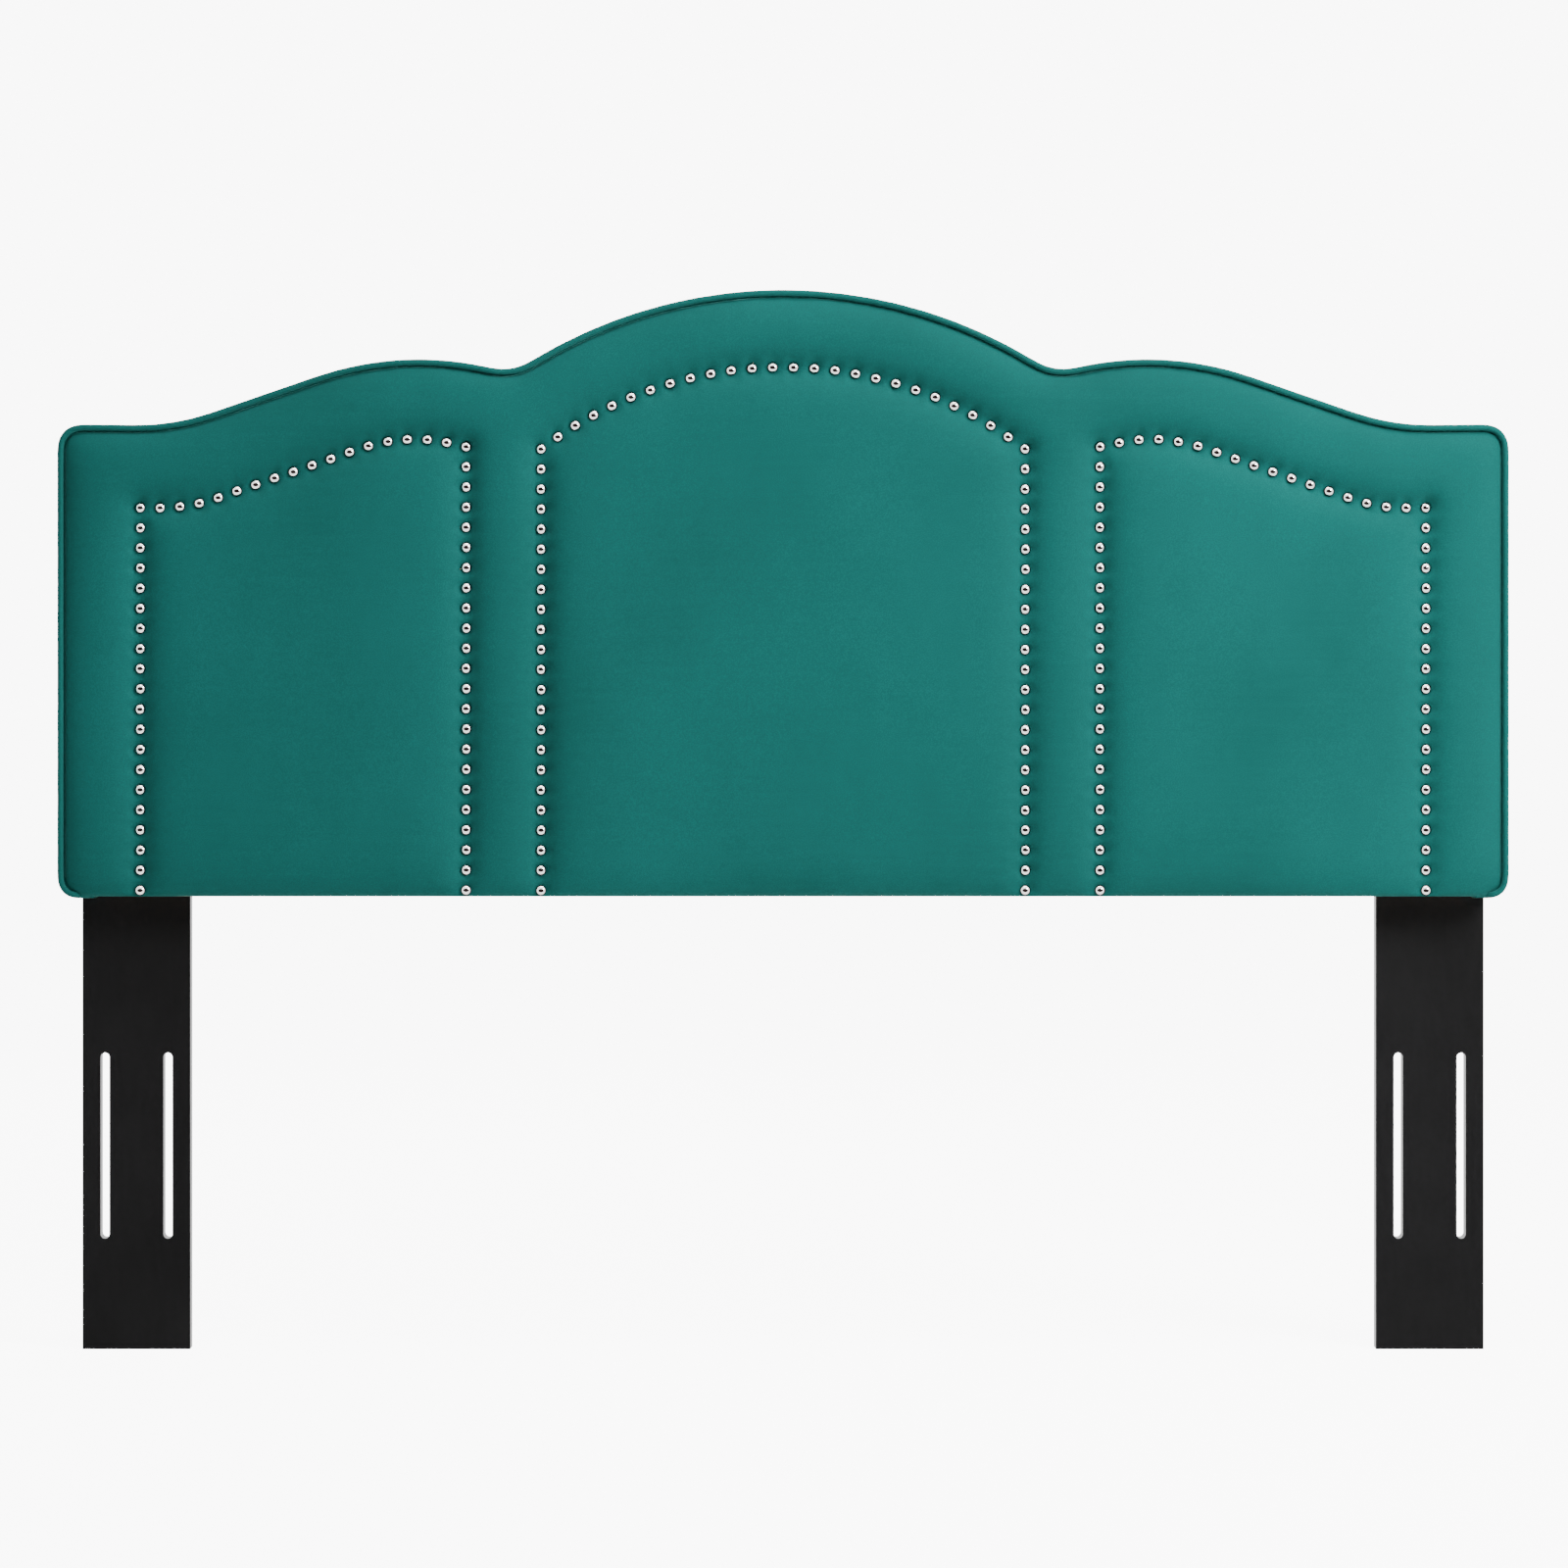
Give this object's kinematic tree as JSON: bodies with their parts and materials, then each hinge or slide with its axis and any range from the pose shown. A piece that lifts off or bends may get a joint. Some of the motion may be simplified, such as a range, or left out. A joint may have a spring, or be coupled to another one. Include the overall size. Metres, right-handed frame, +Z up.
{
  "type": "upholstered headboard",
  "caption": "Camelback headboard in velvet with piping and nailhead-trimmed sections, on two slotted legs that bolt to a bed frame.",
  "frame": {"origin": "on the floor, at the middle of the width and of the depth", "axes": "+X across the width, to the viewer's right; -Y is the padded front; +Z up"},
  "size_m": [1.6, 0.0998, 1.1762],
  "materials": {
    "leg_paint": "black satin lacquer over wood",
    "plywood": "raw plywood",
    "pine": "raw sawn pine",
    "foam": "open-cell polyurethane foam",
    "wadding": "bonded polyester wadding",
    "velvet": "short-pile teal velvet",
    "cord": "twisted cotton welt cord",
    "dust_cloth": "black non-woven cloth",
    "nail_nickel": "polished nickel plate",
    "staple_wire": "galvanised wire",
    "zinc_steel": "zinc-plated steel",
    "yellow_zinc": "yellow passivated zinc"
  },
  "bodies": {
    "legs": {"leg_left": "leg_paint", "leg_right": "leg_paint"},
    "headboard": {"face_board": "plywood", "bottom_rail": "pine", "side_rail_left": "pine", "side_rail_right": "pine", "top_rail_left": "pine", "top_rail_center": "pine", "top_rail_right": "pine", "leg_stile_left": "pine", "leg_stile_right": "pine", "center_stile_left": "pine", "center_stile_right": "pine", "corner_blocks": "pine", "board_screws": "yellow_zinc", "foam_pad": "foam", "wadding": "wadding", "front_cover": "velvet", "boxing_band": "velvet", "piping_cover": "velvet", "piping_cord": "cord", "cover_staples": "staple_wire", "dust_cover": "dust_cloth", "dust_cover_staples": "staple_wire", "nails_left_outer": "nail_nickel", "nails_left_top": "nail_nickel", "nails_left_inner": "nail_nickel", "nails_right_outer": "nail_nickel", "nails_right_top": "nail_nickel", "nails_right_inner": "nail_nickel", "nails_center_left": "nail_nickel", "nails_center_arch": "nail_nickel", "nails_center_right": "nail_nickel", "leg_bolts_left": "zinc_steel", "leg_bolts_right": "zinc_steel", "spring_washers_left": "zinc_steel", "spring_washers_right": "zinc_steel", "flat_washers_left": "zinc_steel", "flat_washers_right": "zinc_steel", "tee_nuts_left": "yellow_zinc", "tee_nuts_right": "yellow_zinc"}
  },
  "joints": [
    {"name": "height_adjust", "type": "slide", "parent": "legs", "child": "headboard", "axis": [0, 0, 1], "range_m": [0, 0.2]}
  ]
}
